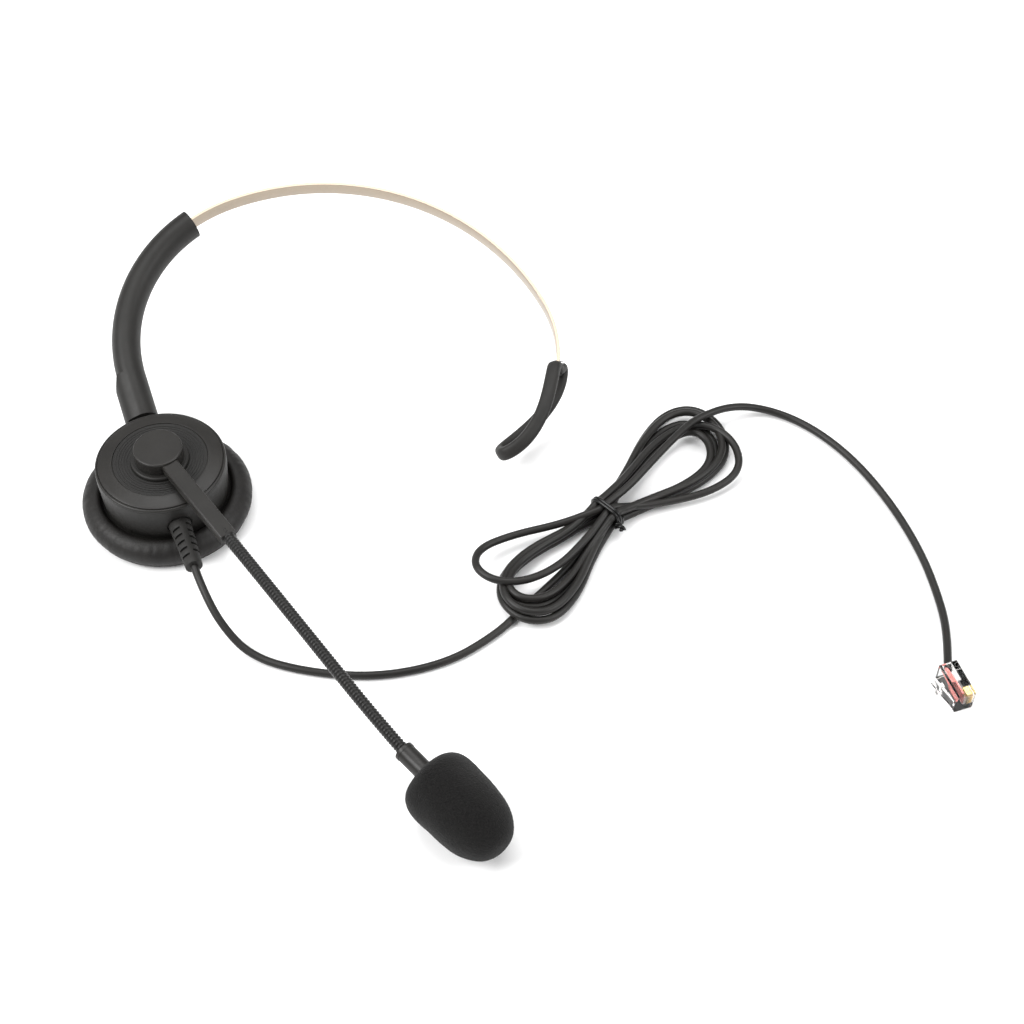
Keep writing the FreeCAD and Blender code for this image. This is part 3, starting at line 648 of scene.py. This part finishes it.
def leatherette():
    s = Surface("leatherette", (0.0085, 0.0076, 0.0070), 0.5)
    s.vary(s.noise(0.2, 4), 0.78, 1.25)
    s.polish(s.noise(1.1, 4), 0.40, 0.62)
    s.bump(s.cells(1.35), 0.05, 0.55)
    s.bump(s.noise(4.0, 3), 0.02, 0.4)
    return s.set(Specular_IOR_Level=0.28)


def foam():
    s = Surface("open_cell_foam", (0.0042, 0.0040, 0.0038), 0.95)
    s.vary(s.noise(2.2, 4), 0.35, 1.9)
    s.bump(s.noise(2.4, 5), 0.25, 0.8)
    s.bump(s.cells(3.0), 0.15, 0.7)
    return s.set(Specular_IOR_Level=0.08, Sheen_Weight=0.08, Sheen_Roughness=0.6)


def cloth():
    s = Surface("speaker_cloth", (0.01, 0.01, 0.01), 0.9)
    s.vary(s.noise(0.5), 0.8, 1.3)
    s.bump(s.wave(2.2, "BANDS", "X"), 0.12, 0.9)
    s.bump(s.wave(2.2, "BANDS", "Y"), 0.12, 0.9)
    return s.set(Sheen_Weight=0.3)


def cord_jacket():
    s = Surface("cord_jacket", (0.0120, 0.0112, 0.0102), 0.4)
    s.vary(s.noise(0.08, 3), 0.82, 1.2)
    s.polish(s.noise(0.5, 4), 0.33, 0.5)
    s.bump(s.noise(1.6, 3), 0.03, 0.45)
    return s.set(Specular_IOR_Level=0.28)


def clear_plastic():
    s = Surface("clear_plug", (0.97, 0.965, 0.95), 0.06)
    s.polish(s.noise(0.4), 0.03, 0.12)
    s.bump(s.noise(0.35, 2), 0.03, 0.5)
    return s.set(Transmission_Weight=1.0, IOR=1.2)


SURFACES = {
    "cup_plastic": moulded("cup_plastic", (0.0125, 0.0118, 0.0108), 0.42, 0.56, 0.025),
    "trim_plastic": trim_plastic(),
    "cap_plastic": moulded("cap_plastic", (0.0165, 0.0155, 0.0143), 0.30, 0.42, 0.015),
    "leatherette": leatherette(),
    "foam": foam(),
    "cloth": cloth(),
    "rubber": moulded("rubber", (0.0155, 0.0148, 0.0138), 0.48, 0.64, 0.03),
    "cord_jacket": cord_jacket(),
    "band_steel": metal("band_steel", (0.34, 0.285, 0.225), 0.24, 0.36, (1, 1, 14)),
    "steel": metal("steel", (0.62, 0.62, 0.62), 0.25, 0.4),
    "neck_metal": moulded("neck_coil", (0.0105, 0.0102, 0.0097), 0.26, 0.4, 0.01),
    "tie_wire": moulded("tie_wire", (0.008, 0.008, 0.0078), 0.14, 0.26, 0.02),
    "clear_plug": clear_plastic(),
    "gold": metal("gold_plate", (0.83, 0.62, 0.28), 0.2, 0.32),
    "wire_red": moulded("wire_insulation", (0.86, 0.27, 0.25), 0.35, 0.5),
    "board": moulded("solder_mask", (0.03, 0.16, 0.06), 0.3, 0.45),
    "film": moulded("diaphragm_film", (0.5, 0.46, 0.36), 0.2, 0.3),
    "magnet": metal("zinc_plate", (0.45, 0.45, 0.47), 0.3, 0.45),
    "copper": metal("copper_wire", (0.75, 0.36, 0.2), 0.25, 0.35),
}


def dress(obj, slot):
    obj.data.materials.clear()
    obj.data.materials.append(SURFACES[slot].material)


EDGE_ROUND = {"boom_hub": 0.35, "boom_sleeve": 0.12, "hub_collar": 0.2, "cup_cap": 0.15,
              "cup_housing": 0.2, "mic_housing": 0.25, "strain_relief": 0.12,
              "plug_body": 0.15, "plug_latch": 0.12, "arm_shell_upper": 0.15, "arm_shell_lower": 0.15,
              "headband_strip": 0.15}
EDGE_SEGMENTS = 3
EDGE_ANGLE = 38
WELD_DISTANCE = 0.000005


def finish_cad_nodes():
    """Each machined or moulded piece keeps its CAD shape and gets its material; those listed in EDGE_ROUND
    also get softened edges.
    """
    for part in frame["record"]["subparts"]:
        node = frame["nodes"][part["node"]]
        dress(node, part["material_slot"])
        if part["node"] in EDGE_ROUND:
            weld = node.modifiers.new("weld", "WELD")
            weld.merge_threshold = WELD_DISTANCE
            bevel = node.modifiers.new("edge", "BEVEL")
            bevel.width = EDGE_ROUND[part["node"]] / 1000
            bevel.segments = EDGE_SEGMENTS
            bevel.limit_method = "ANGLE"
            bevel.angle_limit = radians(EDGE_ANGLE)


finish_cad_nodes()

# ---------------------------------------------------------------- pieces and bodies
dress(cord, "cord_jacket")
dress(cushion, "leatherette")
dress(gooseneck, "neck_metal")
dress(windscreen, "foam")
for piece in [tie] + tie_ends:
    dress(piece, "tie_wire")
    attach(piece, "ear_cup")
for piece in plug_wires:
    dress(piece, "wire_red")
    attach(piece, "ear_cup")
for piece in (pad, pad_tongue):
    dress(piece, "rubber")
    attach(piece, "headband")

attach(cord, "ear_cup")
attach(cushion, "ear_cup")
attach(windscreen, "mic")
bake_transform(gooseneck)

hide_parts("cord_to_hank", "cord_hank", "cord_to_plug")
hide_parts("hank_tie")
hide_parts("ear_cushion")
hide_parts("gooseneck_lower", "gooseneck_upper")
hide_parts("windscreen")
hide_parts("temple_pad")
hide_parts("plug_wires")


# ---------------------------------------------------------------- floor and light
# name, angle round the headset, elevation, distance, size and power
SOFTBOXES = (("key", 196, 46, 1.3, (0.8, 0.6), 17),
             ("fill", -12, 38, 1.4, (0.7, 0.7), 10),
             ("top", 90, 74, 1.2, (1.0, 0.7), 9))
WORLD_STRENGTH = 0.5


def make_floor():
    size = 3.0
    floor = mesh_object("floor", [(-size, -size, 0), (size, -size, 0), (size, size, 0), (-size, size, 0)],
                        [(0, 1, 2, 3)])
    paper = Surface("white_paper", (0.93, 0.93, 0.93), 0.75)
    paper.vary(paper.noise(0.004), 0.99, 1.0)
    floor.data.materials.append(paper.material)


def softbox(name, angle, elevation, distance, size, power):
    """A rectangular area light aimed at the middle of the headset."""
    data = bpy.data.lights.new(name, "AREA")
    data.shape = "RECTANGLE"
    data.size = size[0]
    data.size_y = size[1]
    data.energy = power
    light = link(bpy.data.objects.new(name, data))
    out = heading(angle) * cos(radians(elevation)) + UP * sin(radians(elevation))
    light.location = CAMERA_TARGET + out * distance
    light.rotation_euler = out.to_track_quat("Z", "Y").to_euler()


def make_light():
    world = bpy.data.worlds.new("studio")
    world.use_nodes = True
    world.node_tree.nodes["Background"].inputs["Color"].default_value = (1, 1, 1, 1)
    world.node_tree.nodes["Background"].inputs["Strength"].default_value = WORLD_STRENGTH
    bpy.context.scene.world = world
    bpy.context.scene.view_settings.view_transform = "Standard"
    for box in SOFTBOXES:
        softbox(*box)


make_floor()
make_light()
